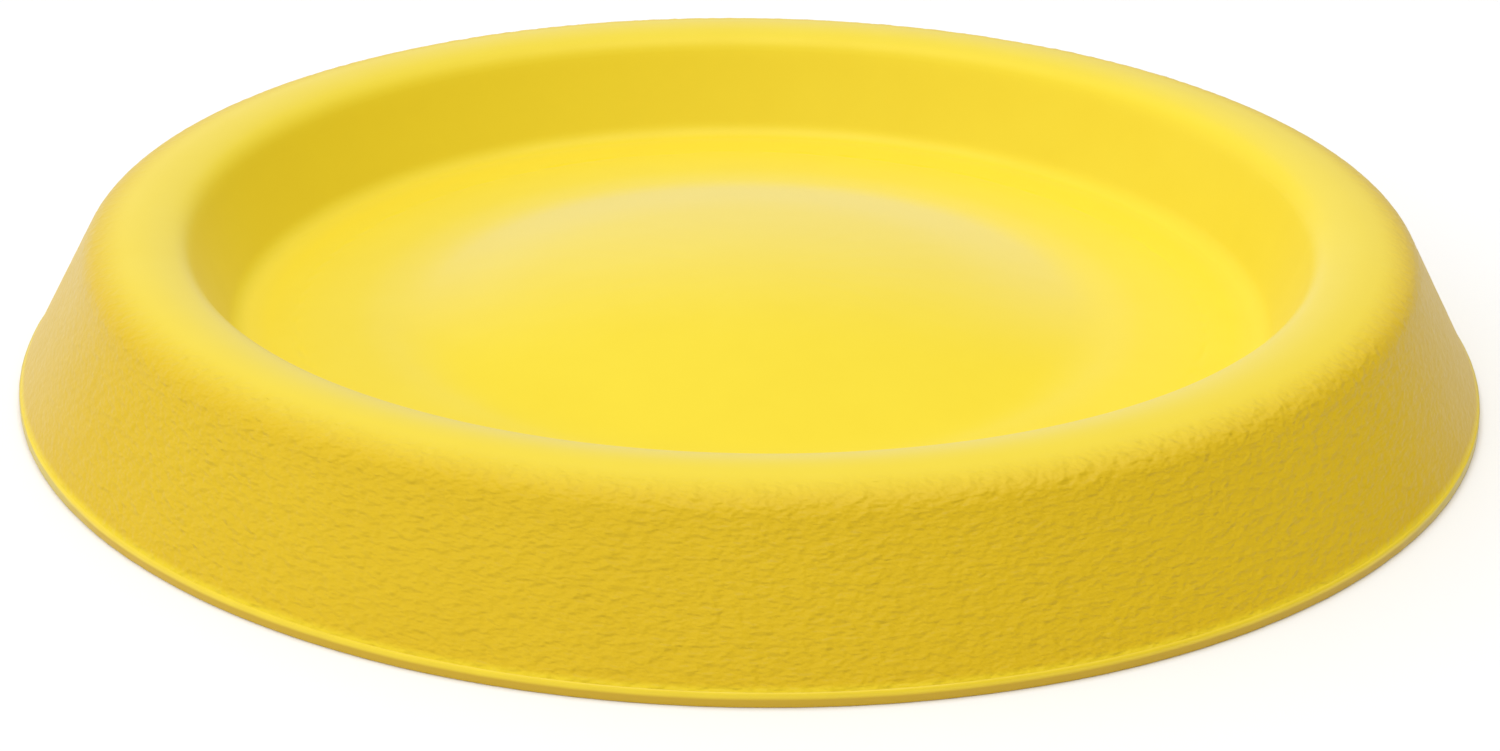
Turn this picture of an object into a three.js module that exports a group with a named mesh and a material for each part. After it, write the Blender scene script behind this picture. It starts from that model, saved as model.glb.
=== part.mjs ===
// A soft flying disc: a ring-shaped rim of moulded foam around a thin floor with a low dome, covered
// above and below by a tough coat, with a rounded bead round the base where the two coats meet.
// Millimetres, +Z up, origin at the middle of the base. Every piece is a solid of revolution about Z.

import * as THREE from "three";

// Overall size
const discRadius = 125;
const discHeight = 26.6;
const segments = 60;

// Coats and the space left between touching pieces
const coatThickness = 1.2;
const gap = 0.3;

// Rim, from the top of the crown out to the skirt and in to the floor
const crownRadius = 103.5;
const crownArc = 21;
const crownOuterSlope = 20;
const crownInnerSlope = 15;
const outerShoulderArc = 4.5;
const skirtSlope = 61.6;
const innerShoulderArc = 4.5;
const wallSlope = 68;
const wallFootArc = 4;

// Floor inside the rim, and the low dome in its middle
const floorHeight = 7.8;
const domeFootRadius = 63;
const domeRise = 7;
const domeFootArc = 34;

// Shallow dish in the underside, below the dome
const dishFootRadius = 58;
const dishRise = 6;
const dishFootArc = 20;

// Bead round the base
const beadHeight = 2.3;
const beadWidth = 3.5;
const beadCorner = 0.6;

const seatHeight = beadHeight + gap;
const beadInnerRadius = discRadius - beadWidth;
const lowerEdgeRadius = beadInnerRadius - gap;

// How many straight steps stand for each arc
const capSteps = 4;
const footSteps = 3;
const shoulderSteps = 3;
const innerCrownSteps = 3;
const outerCrownSteps = 2;
const beadSteps = 3;

const coatLook = { color: 0xf9dc3a, roughness: 0.5, metalness: 0 };
const beadLook = { color: 0xf0cc30, roughness: 0.45, metalness: 0 };
const foamLook = { color: 0xf3e8b0, roughness: 0.95, metalness: 0 };

// Points of a circular arc about (r, z). An angle is measured from straight up, positive outwards.
function arc(r, z, radius, fromDegrees, toDegrees, steps) {
  const points = [];
  for (let i = 0; i <= steps; i++) {
    const angle = THREE.MathUtils.degToRad(fromDegrees + ((toDegrees - fromDegrees) * i) / steps);
    points.push(new THREE.Vector2(r + radius * Math.sin(angle), z + radius * Math.cos(angle)));
  }
  return points;
}

// A low dome that rises from a level surface, with its foot rounded by a hollow arc. The arc's centre is
// above the foot radius. raise moves the whole surface along its own normal, up when positive.
function domeLine(level, footRadius, rise, footArc, raise) {
  const reach = (footRadius ** 2 + rise ** 2) / (2 * rise);
  const edgeSlope = THREE.MathUtils.radToDeg(Math.asin(footRadius / reach));
  const capArc = reach - footArc;
  const cap = arc(0, level + rise - capArc, capArc + raise, 0, edgeSlope, capSteps);
  const foot = arc(footRadius, level + footArc, footArc - raise, 180 + edgeSlope, 180, footSteps);
  return [...cap, ...foot.slice(1)];
}

// The centre of an arc that lies inside the crown's arc and touches it where the slope is as given.
function shoulderCentre(slopeDegrees, shoulderArc) {
  const angle = THREE.MathUtils.degToRad(slopeDegrees);
  const reach = crownArc - shoulderArc;
  return [crownRadius + reach * Math.sin(angle), discHeight - crownArc + reach * Math.cos(angle)];
}

// The disc's upper outline, from the axis out to the foot of the skirt, sunk by depth below the surface.
function upperLine(depth) {
  const dome = domeLine(floorHeight, domeFootRadius, domeRise, domeFootArc, -depth);
  const [innerR, innerZ] = shoulderCentre(-crownInnerSlope, innerShoulderArc);
  const innerShoulder = arc(
    innerR, innerZ, innerShoulderArc - depth, -wallSlope, -crownInnerSlope, shoulderSteps);
  const crownZ = discHeight - crownArc;
  const innerCrown = arc(
    crownRadius, crownZ, crownArc - depth, -crownInnerSlope, 0, innerCrownSteps);
  const outerCrown = arc(
    crownRadius, crownZ, crownArc - depth, 0, crownOuterSlope, outerCrownSteps);
  const [outerR, outerZ] = shoulderCentre(crownOuterSlope, outerShoulderArc);
  const outerShoulder = arc(
    outerR, outerZ, outerShoulderArc - depth, crownOuterSlope, skirtSlope, shoulderSteps);
  const wallFoot = arc(
    wallFootCentre(), floorHeight + wallFootArc, wallFootArc + depth, 180, 180 - wallSlope, footSteps);
  const shoulderEnd = outerShoulder.at(-1);
  const run = (shoulderEnd.y - seatHeight) / Math.tan(THREE.MathUtils.degToRad(skirtSlope));
  const skirtFoot = new THREE.Vector2(shoulderEnd.x + run, seatHeight);
  return [
    ...dome,
    ...wallFoot,
    ...innerShoulder,
    ...innerCrown.slice(1),
    ...outerCrown.slice(1),
    ...outerShoulder.slice(1),
    skirtFoot,
  ];
}

// The radius of the centre of the hollow arc that joins the floor to the sloping wall inside the rim.
function wallFootCentre() {
  const slope = THREE.MathUtils.degToRad(wallSlope);
  const [shoulderR, shoulderZ] = shoulderCentre(-crownInnerSlope, innerShoulderArc);
  const topR = shoulderR - innerShoulderArc * Math.sin(slope);
  const topZ = shoulderZ + innerShoulderArc * Math.cos(slope);
  const footZ = floorHeight + wallFootArc * (1 - Math.cos(slope));
  return topR - (topZ - footZ) / Math.tan(slope) - wallFootArc * Math.sin(slope);
}

// The disc's underside, from the axis out to the inside of the bead, raised by height above the surface.
function lowerLine(height) {
  const dish = domeLine(0, dishFootRadius, dishRise, dishFootArc, height);
  return [...dish, new THREE.Vector2(lowerEdgeRadius, height)];
}

// One named solid of revolution from a closed outline given anticlockwise: out along the bottom, back in
// along the top.
function turned(name, outline, look) {
  const geometry = new THREE.LatheGeometry(outline, segments);
  geometry.rotateX(Math.PI / 2);
  const mesh = new THREE.Mesh(geometry, new THREE.MeshStandardMaterial(look));
  mesh.name = name;
  return mesh;
}

// The coat over the skirt, crown, inner wall, floor and dome, in one piece.
function upperCoat() {
  return turned("upper_skin", [...upperLine(coatThickness), ...upperLine(0).reverse()], coatLook);
}

// The foam inside: a thick ring joined by a thin web, stepped round the bead at its outer foot.
function foamCore() {
  const under = lowerLine(coatThickness + gap);
  const step = new THREE.Vector2(lowerEdgeRadius, seatHeight);
  const over = upperLine(coatThickness + gap).reverse();
  return turned("foam_core", [...under, step, ...over], foamLook);
}

// The coat on the underside, flat where the disc rests and dished in the middle.
function lowerCoat() {
  return turned("lower_skin", [...lowerLine(0), ...lowerLine(coatThickness).reverse()], coatLook);
}

// The ring where the two coats meet, upright outside with a rounded corner above and below.
function edgeBead() {
  const cornerR = discRadius - beadCorner;
  const outline = [
    new THREE.Vector2(beadInnerRadius, 0),
    ...arc(cornerR, beadCorner, beadCorner, 180, 90, beadSteps),
    ...arc(cornerR, beadHeight - beadCorner, beadCorner, 90, 0, beadSteps),
    new THREE.Vector2(beadInnerRadius, beadHeight),
    new THREE.Vector2(beadInnerRadius, 0),
  ];
  return turned("edge_bead", outline, beadLook);
}

const disc = new THREE.Group();
disc.add(upperCoat(), foamCore(), lowerCoat(), edgeBead());

export default disc;
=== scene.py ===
"""Looks of a soft foam flying disc: a yellow coat with a leather grain on its skirt, a thin bead round
the base, and foam inside. Metres, +Z up, the disc's axis on Z and its base on the floor at zero."""

import math

import bpy
import numpy as np
from mathutils import Matrix, Vector


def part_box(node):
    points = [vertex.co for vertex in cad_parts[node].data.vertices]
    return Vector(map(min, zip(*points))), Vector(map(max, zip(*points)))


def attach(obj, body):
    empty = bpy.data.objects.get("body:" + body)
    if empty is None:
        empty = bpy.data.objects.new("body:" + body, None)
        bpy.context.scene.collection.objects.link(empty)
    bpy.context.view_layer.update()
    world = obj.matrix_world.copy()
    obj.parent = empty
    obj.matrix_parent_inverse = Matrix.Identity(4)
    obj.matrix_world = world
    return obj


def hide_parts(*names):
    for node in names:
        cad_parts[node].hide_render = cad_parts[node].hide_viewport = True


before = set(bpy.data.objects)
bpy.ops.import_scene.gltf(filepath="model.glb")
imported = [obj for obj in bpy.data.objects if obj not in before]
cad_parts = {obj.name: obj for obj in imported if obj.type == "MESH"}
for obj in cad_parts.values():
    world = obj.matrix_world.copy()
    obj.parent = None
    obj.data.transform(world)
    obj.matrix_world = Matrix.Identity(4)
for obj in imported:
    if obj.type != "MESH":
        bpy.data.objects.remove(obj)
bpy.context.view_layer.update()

MM = 0.001

# Sizes that the CAD parts in model.glb give
disc_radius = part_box("edge_bead")[1].x
bead_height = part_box("edge_bead")[1].z
disc_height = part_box("upper_skin")[1].z

# The upper outline, as the CAD part has it
crown_radius = 103.5 * MM
crown_arc = 21 * MM
crown_outer_slope = 20
crown_inner_slope = 15
outer_shoulder_arc = 4.5 * MM
skirt_slope = 61.6
inner_shoulder_arc = 4.5 * MM
wall_slope = 68
wall_foot_arc = 4 * MM
floor_height = 7.8 * MM
dome_foot_radius = 63 * MM
dome_rise = 7 * MM
dome_foot_arc = 34 * MM

# The underside
dish_foot_radius = 58 * MM
dish_rise = 6 * MM
dish_foot_arc = 20 * MM

# Fine shape that only the visible model has. The seam is the gap between pieces that touch.
coat_thickness = 1.2 * MM
seam = 0.04 * MM
lip_setback = 0.2 * MM
skirt_flare = 0.13 * MM
skirt_flare_height = 0.9 * MM

# The bead's section, and how deep and how many in a turn are the wavers and nicks of its side
bead_width = 3.5 * MM
bead_corner = 0.55 * MM
bead_foot_corner = 0.3 * MM
bead_waver, bead_waver_cells = 0.05 * MM, 40
bead_nick, bead_nick_cells = 0.03 * MM, 230

# The faint ring pressed into the floor
ring_mark_radius = 78.5 * MM
ring_mark_width = 1.6 * MM
ring_mark_depth = 0.10 * MM
ring_mark_points = 9

# The leather relief in the coat's mesh: the distances from the axis and the heights over the bead
# between which it fades in, and how much deeper it is near the shoulder, down to where
grain_height = 0.10 * MM
relief_reach = (105.5 * MM, 110.5 * MM)
relief_rise = (0.2 * MM, 1.6 * MM)
shoulder_boost = 0.4
shoulder_reach = (112 * MM, 116 * MM)
under_grain_height = grain_height * 0.5

# How much fainter the grain is on the disc's left and right, and from where to where it fades, as
# parts of the radius
side_calm = 0.6
side_span = (0.62, 0.95)

# Noise in the meshes: how many cells a layer has in a turn round the disc, and how long a cell is the
# other way. Swirl and drift shift the leather's other layers by their reach, across and round.
swirl_cells = (130, 6 * MM)
swirl_reach = 0.8 * MM
drift_cells = (170, 4 * MM)
drift_reach = 1.0 * MM
wide_cells = (340, 1.15 * MM)
fine_cells = (440, 0.75 * MM)
patch_cells = (80, 7 * MM)
swell_cells = (60, 7 * MM)
swell_height = 0.012 * MM
mark_cells = (150, 1.2 * MM)
pore_cells = (300, 2 * MM)
pore_height = 0.02 * MM

# How far apart an outline's points are, in millimetres, on the dome, floor, wall, crown and skirt
coat_fineness = (2.4, 2.6, 1.3, 1.3, 0.47)
lining_fineness = (5, 5, 2.5, 2.5, 3)
foam_fineness = (4, 3, 1.6, 1.8, 1.8)

# The same for the underside, and for the bead's corners and side
under_step = 1.7 * MM
under_lining_step = 6 * MM
foam_under_step = 4 * MM
bead_corner_step = 0.13 * MM
bead_side_step = 0.4 * MM

# How many points a ring has up to each distance from the axis, and in the widest rings. Each count is
# twice the one before it, so that rings can be joined.
fine_rings = [(4 * MM, 30), (9 * MM, 60), (20 * MM, 120), (60.5 * MM, 240), (107 * MM, 480)]
coarse_rings = [(9 * MM, 30), (20 * MM, 60), (60.5 * MM, 120), (107 * MM, 240)]
around = 960

# Edges sharper than this, in degrees, stay crisp
crisp_angle = 50


def arc(r, z, radius, start, end, step):
    """Points of an arc about (r, z). Angles are in degrees from straight up, positive outwards."""
    count = max(2, math.ceil(abs(math.radians(end - start)) * radius / step))
    angles = np.radians(np.linspace(start, end, count + 1))
    return np.stack([r + radius * np.sin(angles), z + radius * np.cos(angles)], 1)


def straight(start, end, step):
    """Points from start to end, without either of them."""
    start, end = np.array(start), np.array(end)
    count = max(1, round(np.linalg.norm(end - start) / step))
    share = np.linspace(0, 1, count + 1)[1:-1, None]
    return start + (end - start) * share


def dome_line(level, foot_radius, rise, foot_arc, lift, step):
    """A low dome on a level surface, from the axis to its foot. lift moves it along its own normal."""
    reach = (foot_radius**2 + rise**2) / (2 * rise)
    bead_sheen_share = math.degrees(math.asin(foot_radius / reach))
    cap_arc = reach - foot_arc
    cap = arc(0, level + rise - cap_arc, cap_arc + lift, 0, bead_sheen_share, step)
    foot = arc(foot_radius, level + foot_arc, foot_arc - lift, 180 + bead_sheen_share, 180, step / 2)
    return np.concatenate([cap, foot[1:]])


def shoulder_centre(slope, shoulder_arc):
    """The centre of an arc inside the crown's arc that touches it where the slope is as given."""
    reach = crown_arc - shoulder_arc
    angle = math.radians(slope)
    return crown_radius + reach * math.sin(angle), disc_height - crown_arc + reach * math.cos(angle)


def upper_line(depth, fineness):
    """The disc's upper outline from the axis to the foot of the skirt, sunk by depth, with points as
    far apart as fineness says, in millimetres, on the dome, floor, wall, crown and skirt."""
    on_dome, on_floor, on_wall, on_crown, on_skirt = [f * MM for f in fineness]
    dome = dome_line(floor_height, dome_foot_radius, dome_rise, dome_foot_arc, -depth, on_dome)

    inner = shoulder_centre(-crown_inner_slope, inner_shoulder_arc)
    inner_shoulder = arc(*inner, inner_shoulder_arc - depth, -wall_slope, -crown_inner_slope, on_wall)
    slope = math.radians(wall_slope)
    top = np.array(inner) + inner_shoulder_arc * np.array([-math.sin(slope), math.cos(slope)])
    drop = top[1] - floor_height - wall_foot_arc * (1 - math.cos(slope))
    foot_r = top[0] - drop / math.tan(slope) - wall_foot_arc * math.sin(slope)
    wall_foot = arc(
        foot_r, floor_height + wall_foot_arc, wall_foot_arc + depth, 180, 180 - wall_slope, on_wall / 2
    )

    crown = arc(
        crown_radius,
        disc_height - crown_arc,
        crown_arc - depth,
        -crown_inner_slope,
        crown_outer_slope,
        on_crown,
    )
    outer = shoulder_centre(crown_outer_slope, outer_shoulder_arc)
    outer_shoulder = arc(
        *outer, outer_shoulder_arc - depth, crown_outer_slope, skirt_slope, on_skirt
    )
    run = (outer_shoulder[-1][1] - bead_height) / math.tan(math.radians(skirt_slope))
    skirt_foot = outer_shoulder[-1] + np.array([run, bead_height - outer_shoulder[-1][1]])
    return np.concatenate(
        [
            dome,
            straight(dome[-1], wall_foot[0], on_floor),
            wall_foot,
            straight(wall_foot[-1], inner_shoulder[0], on_wall),
            inner_shoulder,
            crown[1:],
            outer_shoulder[1:],
            straight(outer_shoulder[-1], skirt_foot, on_skirt),
            skirt_foot[None],
        ]
    )


def lower_line(height, step):
    """The underside from the axis out to the inside of the bead, raised by height."""
    dish = dome_line(0, dish_foot_radius, dish_rise, dish_foot_arc, height, step)
    bead_sheen_share = np.array([disc_radius - bead_width - seam, height])
    return np.concatenate([dish, straight(dish[-1], bead_sheen_share, step), bead_sheen_share[None]])


def normals_of(line):
    """Unit normals on the left of a line of points, which is the upper side of one that runs outwards."""
    along = np.gradient(line, axis=0)
    along /= np.linalg.norm(along, axis=1)[:, None]
    return np.stack([-along[:, 1], along[:, 0]], 1)


def lengths_along(line):
    """How far along the line each of its points is."""
    steps = np.linalg.norm(np.diff(line, axis=0), axis=1)
    return np.concatenate([[0], np.cumsum(steps)])


def smooth(value, low, high):
    """0 below low, 1 above high, and smooth between them."""
    share = np.clip((value - low) / (high - low), 0, 1)
    return share * share * (3 - 2 * share)


def round_noise(turn, across, cells, seed):
    """Smooth noise from -1 to 1 that joins up round the disc. turn is from 0 to 1 round the axis, with
    the given whole number of cells in a turn; across counts cells the other way."""
    table = np.random.default_rng(seed).uniform(0, 2 * math.pi, (cells, 256))
    u, v = np.broadcast_arrays(turn * cells, across)
    column, row = np.floor(u).astype(int), np.floor(v).astype(int)
    du, dv = u - column, v - row
    blend_u, blend_v = (d * d * d * (d * (d * 6 - 15) + 10) for d in (du, dv))

    def corner(i, j):
        angle = table[(column + i) % cells, (row + j) % 256]
        return np.cos(angle) * (du - i) + np.sin(angle) * (dv - j)

    near = corner(0, 0) * (1 - blend_u) + corner(1, 0) * blend_u
    far = corner(0, 1) * (1 - blend_u) + corner(1, 1) * blend_u
    return (near * (1 - blend_v) + far * blend_v) * 1.6


def layer(turn, along, cells, seed):
    """One layer of round_noise, with cells given as how many there are in a turn and how long each is
    along the outline."""
    count, length = cells
    return round_noise(turn, along / length, count, seed)


def leather(turn, along, seed):
    """Height from about -1 to 1 of a wrinkled grain: low ridges, longer round the disc than across,
    with smaller ones over them, that fade here and there into a smoother patch."""
    swirl = swirl_reach * layer(turn, along, swirl_cells, seed)
    drift = drift_reach * layer(turn, along, drift_cells, seed + 1)
    across = along + swirl
    turn = turn + drift / (2 * math.pi * disc_radius)
    wide = layer(turn, across, wide_cells, seed + 2)
    fine = layer(turn, across, fine_cells, seed + 3)
    patches = smooth(layer(turn, along, patch_cells, seed + 4), -0.6, 0.3)
    return (0.45 + 0.55 * patches) * (0.85 * wide + 0.35 * fine)


def placed(line, normals, heights, turns):
    """One ring of points for each point of the outline, moved out along its normal by its heights. On
    the axis a ring is one point."""
    rings = []
    for point, normal, height, turn in zip(line, normals, heights, turns):
        on_axis = point[0] < 1e-6 * MM
        if on_axis:
            rings.append(np.array([[0, 0, point[1]]]))
            continue
        angle = turn * 2 * math.pi
        r = point[0] + normal[0] * height
        z = point[1] + normal[1] * height
        rings.append(np.stack([r * np.cos(angle), r * np.sin(angle), z + 0 * angle], 1))
    return rings


def even_turns(count):
    """The places round the axis, from 0 to 1, of a ring's points."""
    return np.arange(count) / count


def turns_for(line, steps, widest):
    """The places of the points of each ring. steps lists, from the axis outwards, the radius up to
    which a ring has each count, and rings beyond the last of them have the widest."""
    return [even_turns(next((n for limit, n in steps if r <= limit), widest)) for r in line[:, 0]]


def still(line):
    """Heights of zero for a line whose rings stay exactly on it."""
    return [np.zeros(1)] * len(line)


def strip(first, first_count, second, second_count):
    """The faces between two rings whose points start at the given numbers. A ring may hold one point, as
    many as its neighbour, or half or twice as many."""
    if first_count == 1:
        i = np.arange(second_count)
        return np.stack([0 * i + first, second + i, second + (i + 1) % second_count], 1).tolist()
    if second_count == 1:
        i = np.arange(first_count)
        return np.stack([first + i, 0 * i + second, first + (i + 1) % first_count], 1).tolist()
    if first_count == second_count:
        i = np.arange(first_count)
        j = (i + 1) % first_count
        return np.stack([first + i, second + i, second + j, first + j], 1).tolist()
    if second_count == 2 * first_count:
        i = np.arange(first_count)
        k = 2 * i
        ends = [first + i, second + k, second + k + 1]
        return np.stack(
            [*ends, second + (k + 2) % second_count, first + (i + 1) % first_count], 1
        ).tolist()
    if first_count == 2 * second_count:
        i = np.arange(second_count)
        k = 2 * i
        ends = [first + k, second + i, second + (i + 1) % second_count]
        return np.stack([*ends, first + (k + 2) % first_count, first + k + 1], 1).tolist()
    raise ValueError(f"rings of {first_count} and {second_count} points can't be joined")


def solid(name, rings, closed=False):
    """A mesh object through rings that run from the axis out over the top and back below, or round a
    closed outline."""
    starts = np.cumsum([0] + [len(r) for r in rings])
    pairs = list(zip(range(len(rings) - 1), range(1, len(rings))))
    if closed:
        pairs.append((len(rings) - 1, 0))
    faces = []
    for a, b in pairs:
        faces += strip(int(starts[a]), len(rings[a]), int(starts[b]), len(rings[b]))
    mesh = bpy.data.meshes.new(name)
    mesh.from_pydata(np.concatenate(rings).tolist(), [], faces)
    mesh.validate()
    mesh.shade_smooth()
    mesh.set_sharp_from_angle(angle=math.radians(crisp_angle))
    made = bpy.data.objects.new(name, mesh)
    bpy.context.scene.collection.objects.link(made)
    return made


def flared(line):
    """The outline with the foot of its skirt curved out a little towards the bead."""
    rise = np.clip((line[:, 1] - bead_height) / skirt_flare_height, 0, 1)
    on_skirt = line[:, 0] > crown_radius
    line[:, 0] += np.where(on_skirt, skirt_flare * (1 - rise) ** 2, 0)
    return line


def with_mark_points(line):
    """The outline with extra points across the ring mark, in place of those that were there."""
    across = np.linspace(-1, 1, ring_mark_points)[:, None] * [ring_mark_width, 0]
    mark = np.array([ring_mark_radius, floor_height]) + across
    near_mark = np.abs(line[:, 0] - ring_mark_radius) < ring_mark_width * 1.1
    first = int(np.argmax(near_mark))
    return np.concatenate([line[:first], mark, line[first:][~near_mark[first:]]])


def relief(r, z, s, turn):
    """Height of the leather on a ring of the coat. It fades out over the shoulder, at the bead and on
    the disc's left and right."""
    weave = smooth(r, *relief_reach) * smooth(z - bead_height, *relief_rise)
    weave = weave * (1 + shoulder_boost * (1 - smooth(r, *shoulder_reach)))
    sideways = np.abs(np.cos(turn * 2 * math.pi))
    weave = weave * (1 - side_calm * smooth(sideways, *side_span))
    return grain_height * weave * leather(turn, s, seed=11)


def mark_depth(r, turn):
    """Depth of the ring mark, a groove that comes and goes as it runs round, and none elsewhere."""
    groove = math.exp(-(((r - ring_mark_radius) / (0.4 * ring_mark_width)) ** 2))
    broken = np.clip(0.5 + 1.1 * layer(turn, r, mark_cells, seed=41), 0, 1.4)
    return ring_mark_depth * groove * broken


def coat_lining():
    """The coat's inner side, from the foot of the skirt back to the axis, after a ring that takes the
    points of the outer side's last ring down to half as many."""
    line = upper_line(coat_thickness, lining_fineness)[::-1]
    lip = line[:1] + np.array([[lip_setback, 0]])
    turns = [even_turns(around // 2)] + turns_for(line, coarse_rings, around // 4)
    line = np.concatenate([lip, line])
    return placed(line, np.zeros_like(line), still(line), turns)


def upper_coat():
    """The coat over the whole upper side: grained on the skirt, smooth elsewhere, with a faint ring
    pressed into the floor, and curved out a little where it meets the bead."""
    line = with_mark_points(flared(upper_line(0, coat_fineness)))
    turns = turns_for(line, fine_rings, around)
    heights = []
    for (r, z), s, turn in zip(line, lengths_along(line), turns):
        swell = swell_height * layer(turn, s, swell_cells, seed=31)
        heights.append(relief(r, z, s, turn) + swell - mark_depth(r, turn))
    outside = placed(line, normals_of(line), heights, turns)
    return solid("upper_coat", outside + coat_lining())


def seam_bead():
    """The bead round the base: a squared lip with small rounded corners, whose side wavers a little as
    a moulded seam does."""
    middle = disc_radius - bead_corner
    top = arc(middle, bead_height - bead_corner, bead_corner, 0, 90, bead_corner_step)
    foot = disc_radius - bead_foot_corner
    bottom = arc(foot, bead_foot_corner, bead_foot_corner, 90, 180, bead_corner_step)
    side = straight(top[-1], bottom[0], bead_side_step)
    back = disc_radius - bead_width
    line = np.concatenate([[[back, bead_height]], top, side, bottom, [[back, 0]]])
    normals = np.zeros_like(line)
    normals[1:-1, 0] = np.clip((line[1:-1, 0] - middle) / bead_corner, 0, 1)
    turn = even_turns(around)
    waver = bead_waver * (round_noise(turn, 0.5, bead_waver_cells, seed=51) - 1)
    nick = bead_nick * (round_noise(turn, 0.5, bead_nick_cells, seed=52) - 1)
    rings = placed(line, normals, [waver + nick] * len(line), [turn] * len(line))
    return solid("seam_bead", rings, closed=True)


def lower_coat():
    """The coat on the underside: a grained flat ring that the disc rests on, and a shallow dish."""
    under = lower_line(0, under_step)
    turns = turns_for(under, fine_rings, around // 2)
    heights = [
        under_grain_height * (leather(turn, s, seed=71) + 1)
        for turn, s in zip(turns, lengths_along(under))
    ]
    below = placed(under, normals_of(under), heights, turns)
    over = lower_line(coat_thickness, under_lining_step)
    over_turns = turns_for(over, coarse_rings, around // 4)
    above = placed(over, np.zeros_like(over), still(over), over_turns)
    return solid("lower_coat", above + below[::-1])


def foam_body():
    """The foam that fills the coat: a thick ring and a thin web, with an open, slightly uneven face."""
    depth = coat_thickness + seam
    over = upper_line(depth, foam_fineness)
    seat = bead_height + seam
    over[-1] = [over[-1][0], seat]
    step = np.array([[disc_radius - bead_width - seam, seat]])
    under = lower_line(depth, foam_under_step)
    line = np.concatenate([over, step, under[::-1]])
    turns = turns_for(line, coarse_rings, around // 2)
    pores = [
        pore_height * (layer(turn, s, pore_cells, seed=91) - 1) if r > 1 * MM else np.zeros(1)
        for (r, _), s, turn in zip(line, lengths_along(line), turns)
    ]
    rings = placed(line, normals_of(line), pores, turns)
    return solid("foam_body", rings)


def feed(node, inputs):
    """Links each input of a node to a socket, or sets it to a value."""
    for key, value in inputs.items():
        if isinstance(value, bpy.types.NodeSocket):
            node.id_data.links.new(value, node.inputs[key])
        else:
            node.inputs[key].default_value = value


def node_adder(tree):
    """A function that adds one node to a tree, with its inputs and settings."""

    def add(kind, inputs=None, **settings):
        made = tree.nodes.new(kind)
        for key, value in settings.items():
            setattr(made, key, value)
        feed(made, inputs or {})
        return made

    return add


def new_material(name):
    """A material, its Principled shader and a function that adds a node to it."""
    material = bpy.data.materials.new(name)
    material.use_nodes = True
    nodes = material.node_tree.nodes
    shader = next(n for n in nodes if n.type == "BSDF_PRINCIPLED")
    return material, shader, node_adder(material.node_tree)


def noise_map(add, place, size, detail=2.0, stretch=(1, 1, 1)):
    """Noise whose features are about size metres across, before stretch squeezes them."""
    scaled = add("ShaderNodeVectorMath", {0: place, 1: stretch}, operation="MULTIPLY")
    noise = add(
        "ShaderNodeTexNoise",
        {"Vector": scaled.outputs[0], "Scale": 1 / size, "Detail": detail, "Roughness": 0.55},
    )
    return noise.outputs["Fac"]


def between(add, value, low, high, smooth_step=False, **ends):
    """value mapped from low..high to the two ends given, 0 and 1 unless they are."""
    mapped = add(
        "ShaderNodeMapRange",
        {
            "Value": value,
            "From Min": low,
            "From Max": high,
            "To Min": ends.get("start", 0.0),
            "To Max": ends.get("end", 1.0),
        },
        interpolation_type="SMOOTHSTEP" if smooth_step else "LINEAR",
    )
    return mapped.outputs["Result"]


def product(add, first, second):
    """The first times the second."""
    return add("ShaderNodeMath", {0: first, 1: second}, operation="MULTIPLY").outputs[0]


def total(add, first, second):
    """The first plus the second."""
    return add("ShaderNodeMath", {0: first, 1: second}, operation="ADD").outputs[0]


def absolute(add, value):
    """The value without its sign."""
    return add("ShaderNodeMath", {0: value}, operation="ABSOLUTE").outputs[0]


def dot(add, vector, direction):
    """How far a vector reaches in a direction."""
    inputs = {0: vector, 1: direction}
    return add("ShaderNodeVectorMath", inputs, operation="DOT_PRODUCT").outputs["Value"]


def bumped(add, height, strength, distance, over=None):
    """A normal bent by a height. over is the normal of a bump that is already there."""
    inputs = {"Height": height, "Strength": strength, "Distance": distance}
    if over is not None:
        inputs["Normal"] = over
    return add("ShaderNodeBump", inputs).outputs["Normal"]


def edge_on(add):
    """How nearly edge on a face is seen, from 0 to 1."""
    return add("ShaderNodeLayerWeight", {"Blend": 0.5}).outputs["Facing"]


def mixed(add, factor, first, second):
    """The first colour where factor is 0 and the second where it is 1."""
    inputs = {0: factor, 6: first, 7: second}
    return add("ShaderNodeMix", inputs, data_type="RGBA", clamp_factor=True).outputs[2]


def ramp(add, value, stops):
    """value, from 0 to 1, looked up in a list of (place, level or colour) stops."""
    made = add("ShaderNodeValToRGB", {"Fac": value})
    made.color_ramp.interpolation = "EASE"
    elements = made.color_ramp.elements
    for _ in stops[2:]:
        elements.new(0.5)
    for element, (place, level) in zip(elements, stops):
        element.position = place
        element.color = level if isinstance(level, tuple) else (level, level, level, 1)
    return made.outputs["Color"]


def axis_distance(add, place):
    """Distance from the disc's axis."""
    flat = add("ShaderNodeVectorMath", {0: place, 1: (1, 1, 0)}, operation="MULTIPLY").outputs[0]
    return add("ShaderNodeVectorMath", {0: flat}, operation="LENGTH").outputs["Value"]


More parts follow.
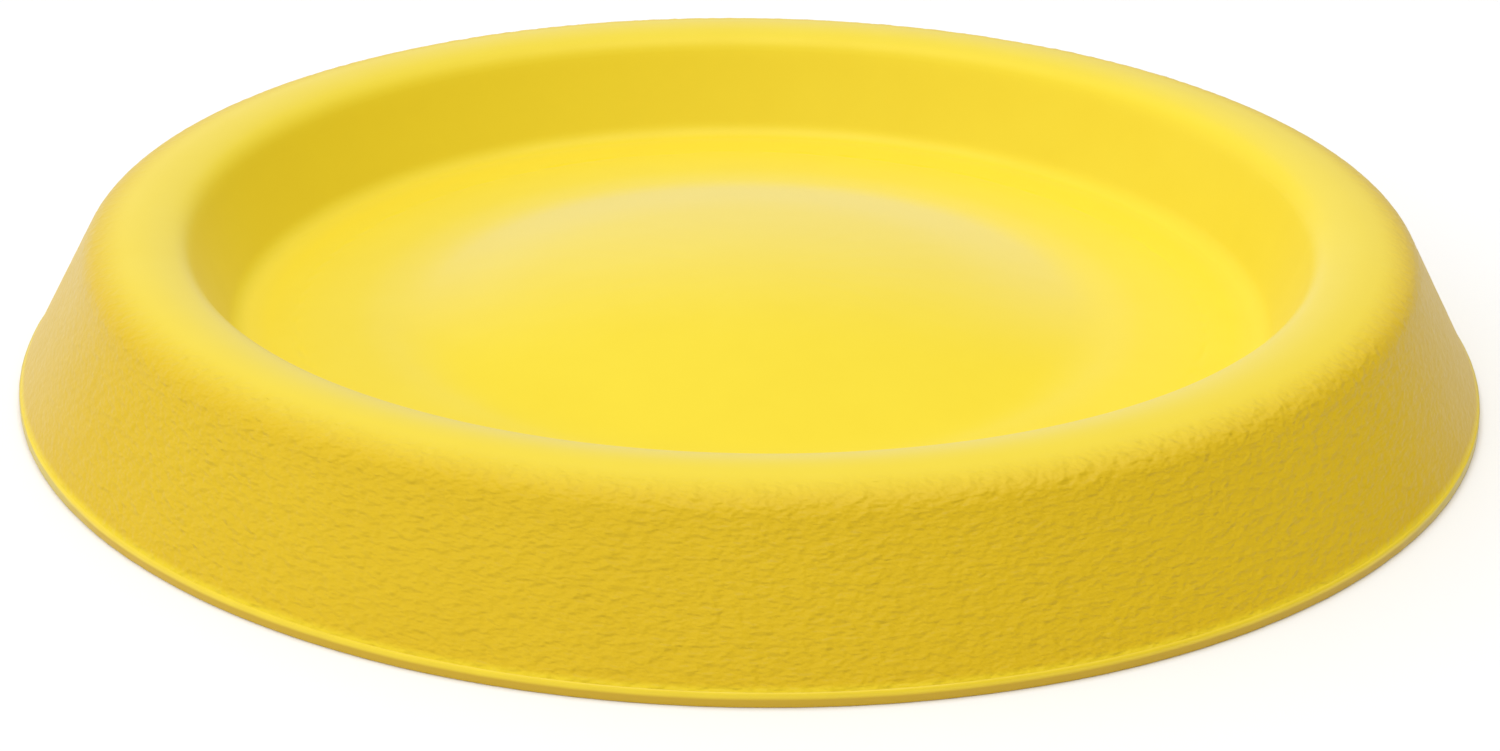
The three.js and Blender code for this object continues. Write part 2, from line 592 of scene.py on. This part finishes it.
def coat_material(name, grain_reach, painted_lip_light_rise):
    """Flexible yellow coat with a faint sheen. The leather grain fades in between two distances from
    the axis, and elsewhere the coat is a smooth satin with a faint orange peel. The grained coat's
    deeper colour fades in between two heights, so that its edge on the bead is as light as the
    bead's top, a painted highlight. Its colour also holds painted shade, darker in the grain's
    troughs and towards the disc's left and right, where the grain is fainter too, and a painted
    sheen, a paler colour mixed in where the coat is seen nearly edge on."""
    material, shader, add = new_material(name)
    place = add("ShaderNodeTexCoord").outputs["Object"]
    split = add("ShaderNodeSeparateXYZ", {0: place}).outputs
    radius = axis_distance(add, place)
    reach = product(add, radius, 1 / disc_radius)
    sideways = absolute(add, product(add, split["X"], 1 / disc_radius))
    grained = between(add, radius, *grain_reach, True)

    wrinkles = noise_map(add, place, wrinkle_size, 1, wrinkle_squeeze)
    pebbles = noise_map(add, place, pebble_size, 1, pebble_squeeze)
    grain = total(add, product(add, wrinkles, 0.72), product(add, pebbles, 0.28))
    calm = between(add, sideways, *side_span, True, start=1.0, end=1 - side_calm)
    grain_normal = bumped(add, product(add, grain, grained), calm, grain_bump_depth)
    peel = noise_map(add, place, peel_size, 2)
    normal = bumped(add, peel, peel_strength, peel_bump_depth, grain_normal)

    film = noise_map(add, place, film_size, 3)
    cloud = between(add, film, 0.3, 0.7)
    # Colour by zone from the axis out, partly painted shade and sheen
    tone = ramp(add, reach, coat_tone)
    smooth_colour = mixed(add, product(add, cloud, 0.06), tone, coat_deep)
    # Painted shade: darker in the grain's troughs and towards the disc's left and right, over a random
    # cloudy tone
    painted_trough_shade = between(add, grain, 0.65, 0.35, start=0.0, end=0.15)
    painted_side_shade = between(add, sideways, *side_span, True, start=0.0, end=side_painted_shade)
    tone_and_painted_shade = total(add, product(add, cloud, 0.2), total(add, painted_trough_shade, painted_side_shade))
    grain_colour = mixed(add, tone_and_painted_shade, grain_light, grain_deep)

    # Painted highlight: the skirt's foot keeps the lighter smooth colour next to the bead
    above_painted_lip_light = between(add, split["Z"], *painted_lip_light_rise, True)
    grain_start, grain_end = grain_reach
    darker = product(add, above_painted_lip_light, between(add, radius, grain_start, grain_end + 2 * MM, True))
    plain = mixed(add, darker, smooth_colour, grain_colour)
    # Painted sheen: a paler colour where the coat is seen nearly edge on, as much as the ramp gives at
    # each distance from the axis
    sheen_paint_colour = mixed(add, darker, painted_sheen_colour, grain_painted_sheen)
    spread = between(add, edge_on(add), *painted_sheen_span, True)
    painted_sheen_share = product(add, spread, ramp(add, reach, painted_sheen_most))

    satin = between(add, film, 0.3, 0.7, start=0.44, end=0.5)
    rougher = product(add, between(add, pebbles, 0.3, 0.7, start=0.1, end=0.02), grained)
    feed(
        shader,
        {
            "Base Color": mixed(add, painted_sheen_share, plain, sheen_paint_colour),
            "Roughness": total(add, satin, rougher),
            "Normal": normal,
            "IOR": 1.45,
            "Specular IOR Level": 0.34,
            "Sheen Weight": 0.12,
            "Sheen Roughness": 0.35,
            "Sheen Tint": sheen_tint,
        },
    )
    return material


def bead_material():
    """The same yellow, smoother, with fine lines along the seam. It is darker low on the side, painted
    shade, and greyer where it is seen nearly edge on, a painted sheen."""
    material, shader, add = new_material("seam_bead")
    place = add("ShaderNodeTexCoord").outputs["Object"]
    height = add("ShaderNodeSeparateXYZ", {0: place}).outputs["Z"]
    lines = noise_map(add, place, seam_line_size, 3, seam_line_squeeze)
    film = noise_map(add, place, bead_film_size, 2)
    # Painted shade: darker low on the bead's side, over a random tone
    low_down = between(add, height, *bead_shade_rise, True)
    painted_shade_and_tone = total(add, low_down, product(add, film, 0.3))
    clean = mixed(add, product(add, film, 0.1), coat_light, coat_deep)
    side = mixed(add, painted_shade_and_tone, clean, bead_painted_shade)
    # Painted sheen: greyer and darker where the bead is seen nearly edge on
    bead_sheen_share = between(add, edge_on(add), 0.6, 0.8, True)
    feed(
        shader,
        {
            "Base Color": mixed(add, bead_sheen_share, side, bead_painted_sheen),
            "Roughness": between(add, lines, 0.3, 0.7, start=0.34, end=0.46),
            "Normal": bumped(add, lines, 0.3, seam_line_depth),
            "IOR": 1.48,
        },
    )
    return material


def foam_material():
    """Matt pale foam with small open cells, darker in their hollows, a painted shade."""
    material, shader, add = new_material("foam")
    place = add("ShaderNodeTexCoord").outputs["Object"]
    inputs = {"Vector": place, "Scale": 1 / foam_cell_size}
    cells = add("ShaderNodeTexVoronoi", inputs, feature="F1").outputs["Distance"]
    feed(
        shader,
        {
            "Base Color": mixed(add, between(add, cells, 0.1, 0.7), foam_hollow_shade, foam_light),
            "Roughness": between(add, cells, 0, 1, start=0.85, end=0.97),
            "Normal": bumped(add, cells, 0.6, foam_cell_depth),
            "Specular IOR Level": 0.2,
        },
    )
    return material


def dress(piece, node, material):
    """Gives a piece its material, hangs it on the root body and hides the CAD node that it stands for."""
    piece.data.materials.append(material)
    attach(piece, "root")
    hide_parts(node)


def stage_floor():
    """A wide plain pale floor under the disc."""
    mesh = bpy.data.meshes.new("floor")
    corners = [(x * floor_half, y * floor_half, 0) for x, y in [(-1, -1), (1, -1), (1, 1), (-1, 1)]]
    mesh.from_pydata(corners, [], [(0, 1, 2, 3)])
    floor = bpy.data.objects.new("floor", mesh)
    bpy.context.scene.collection.objects.link(floor)
    material, shader, _ = new_material("pale_floor")
    feed(shader, {"Base Color": floor_colour, "Roughness": 0.9, "Specular IOR Level": 0.1})
    mesh.materials.append(material)


def softbox(name, place, aim, size, power):
    """A square area light at place that faces aim."""
    lamp = bpy.data.lights.new(name, "AREA")
    lamp.shape = "SQUARE"
    lamp.size = size
    lamp.energy = power
    made = bpy.data.objects.new(name, lamp)
    made.location = place
    made.rotation_euler = (Vector(aim) - Vector(place)).to_track_quat("-Z", "Y").to_euler()
    bpy.context.scene.collection.objects.link(made)


def studio_sky():
    """A plain surround, dimmer at the horizon than above. Low down it is brighter on the left and
    dimmer on the right, and it is a little warmer on the right."""
    world = bpy.data.worlds.new("studio")
    bpy.context.scene.world = world
    world.use_nodes = True
    background = next(n for n in world.node_tree.nodes if n.type == "BACKGROUND")
    add = node_adder(world.node_tree)
    direction = add("ShaderNodeTexCoord").outputs["Generated"]
    height = add("ShaderNodeSeparateXYZ", {0: direction}).outputs["Z"]
    level = between(add, height, *sky_rise, True, start=sky_horizon, end=sky_top)
    low_down = between(add, height, *lean_rise, True, start=lean_strength, end=0.0)
    lean = product(add, dot(add, direction, sky_lean), low_down)
    inputs = {0: level, 1: lean, 2: level}
    strength = add("ShaderNodeMath", inputs, operation="MULTIPLY_ADD").outputs[0]
    warmth = between(add, dot(add, direction, warm_side), *warm_span, True)
    feed(background, {"Strength": strength, "Color": mixed(add, warmth, sky_white, sky_warm)})


def place_camera():
    """Looks down at the disc from the front with a long lens, leaning a little to one side."""
    elevation = math.radians(camera_elevation)
    camera = bpy.data.cameras.new("camera")
    camera.lens = camera_lens
    camera.sensor_width = camera_sensor
    camera.clip_start = camera_clip
    made = bpy.data.objects.new("camera", camera)
    bpy.context.scene.collection.objects.link(made)
    place = Vector((0, -math.cos(elevation), math.sin(elevation))) * camera_distance
    facing = (-place).to_track_quat("-Z", "Y").to_matrix().to_4x4()
    dip = Matrix.Rotation(-camera_dip, 4, "X")
    lean = Matrix.Rotation(math.radians(camera_lean), 4, "Z")
    made.matrix_world = Matrix.Translation(place) @ facing @ dip @ lean
    bpy.context.scene.camera = made


# Where the coat's grain fades in away from the axis and where its colour deepens over the bead;
# below that the skirt's foot keeps the lighter smooth colour, a painted highlight. The underside has
# both all over, so there they are already full at the axis and at the base.
skirt_grain = (105.5 * MM, 111.5 * MM)
skirt_painted_lip_light = (bead_height - 0.1 * MM, bead_height + 1.0 * MM)
already_full = (-2 * MM, -1 * MM)

# Fine noise in the coat's shader: how large its features are, how much they are squeezed in each
# direction and how deep their bump is
wrinkle_size = 2.1 * MM
wrinkle_squeeze = (1, 1, 2.15)
pebble_size = 1.3 * MM
pebble_squeeze = (1, 1, 2.3)
grain_bump_depth = 0.85 * MM
peel_size = 2.5 * MM
peel_strength = 0.12
peel_bump_depth = 0.08 * MM
film_size = 14 * MM

# The bead's shader, with its painted shade, a darker colour that fades in downwards between the
# two heights, and the foam's
seam_line_size = 3 * MM
seam_line_squeeze = (1, 1, 6)
seam_line_depth = 0.1 * MM
bead_film_size = 9 * MM
bead_shade_rise = (1.75 * MM, 1.0 * MM)
foam_cell_size = 0.9 * MM
foam_cell_depth = 0.3 * MM

# Colours. The grained coat's are deeper than the smooth coat's, partly its own deeper yellow and
# partly painted shade on the steep skirt. It goes from its light one towards its deep one as painted
# shade in the grain's troughs and, by as much as the side amount below, on the disc's left and right.
coat_light = (0.93, 0.715, 0.020, 1)
coat_deep = (0.70, 0.46, 0.006, 1)
grain_light = (0.745, 0.503, 0.004, 1)
grain_deep = (0.69, 0.45, 0.003, 1)
side_painted_shade = 0.6
# The colour low on the bead's side is painted shade, where it faces down to the floor
bead_painted_shade = (0.60, 0.385, 0.008, 1)
# The bead's colour where it is seen nearly edge on is painted sheen
bead_painted_sheen = (0.62, 0.48, 0.07, 1)
sheen_tint = (1, 0.97, 0.86, 1)
foam_light = (0.93, 0.82, 0.48, 1)
# The foam's colour in the hollows of its cells is painted shade
foam_hollow_shade = (0.80, 0.66, 0.30, 1)

# The coat's colour from the axis out, at places given as parts of the disc's radius: the dome, the
# floor, the wall and its foot, the crown, then the skirt. It is partly painted shade and sheen: the
# wall darker than the floor, the crown paler and bluer, and the skirt deeper, partly its own yellow.
coat_tone = [
    (0.0, (0.90, 0.71, 0.020, 1)),
    (0.50, (0.905, 0.72, 0.020, 1)),
    (0.66, (0.925, 0.73, 0.018, 1)),
    (0.69, (0.90, 0.72, 0.04, 1)),
    (0.715, (0.885, 0.71, 0.032, 1)),
    (0.76, (0.88, 0.70, 0.028, 1)),
    (0.80, (0.865, 0.69, 0.042, 1)),
    (0.87, (0.875, 0.685, 0.036, 1)),
    (1.0, (0.85, 0.64, 0.012, 1)),
]

# A painted sheen, a pale colour mixed into the coat's where it is seen nearly edge on: its colour
# where the coat is smooth and where it is grained, how nearly edge on it starts and is full, and the
# most of it that the coat has, at places from the axis out as above
painted_sheen_colour = (0.84, 0.735, 0.33, 1)
grain_painted_sheen = (0.69, 0.585, 0.34, 1)
painted_sheen_span = (0.50, 0.85)
painted_sheen_most = [
    (0.0, 0.52), (0.25, 0.55), (0.40, 0.75), (0.50, 0.66), (0.56, 0.28), (0.65, 0.13), (0.69, 0.06),
    (0.757, 0.05), (0.778, 0.46), (0.80, 0.40), (0.83, 0.28), (0.87, 0.20), (0.91, 0.31), (0.95, 0.24),
    (1.0, 0.17),
]

floor_half = 4.0
floor_colour = (0.965, 0.975, 1.0, 1)

# The sky: its strength at the horizon and above, and between which heights of direction it rises
sky_horizon, sky_top = 0.37, 0.74
sky_rise = (0.0, 0.15)

# The side that is brighter low down, how much, and between which heights that fades away
sky_lean = (-0.75, -0.20, 0)
lean_strength = 1.28
lean_rise = (0.15, 0.75)

# The side that is warmer, how far round to it the warmth starts and is full, and the two colours
warm_side = (0.95, -0.3, 0)
warm_span = (0.1, 0.85)
sky_white = (1, 1, 1, 1)
sky_warm = (0.93, 0.85, 0.64, 1)

overhead_place = (-0.06, 0, 1.5)
overhead_size = 1.2
overhead_power = 10

# The camera: angles in degrees, except the dip of its aim, which is in radians, and its lens and
# sensor in millimetres
camera_distance = 4.21 * disc_radius
camera_elevation = 23.5
camera_dip = 0.0099
camera_lean = 0.78
camera_lens = 72
camera_sensor = 36
camera_clip = 0.01

coat = upper_coat()
bead = seam_bead()
underside = lower_coat()
foam = foam_body()

dress(coat, "upper_skin", coat_material("coat", skirt_grain, skirt_painted_lip_light))
dress(bead, "edge_bead", bead_material())
under_coat = coat_material("under_coat", already_full, already_full)
dress(underside, "lower_skin", under_coat)
dress(foam, "foam_core", foam_material())

stage_floor()
studio_sky()
softbox("overhead", overhead_place, (0, 0, 0), overhead_size, overhead_power)
place_camera()
bpy.context.scene.view_settings.view_transform = "Standard"
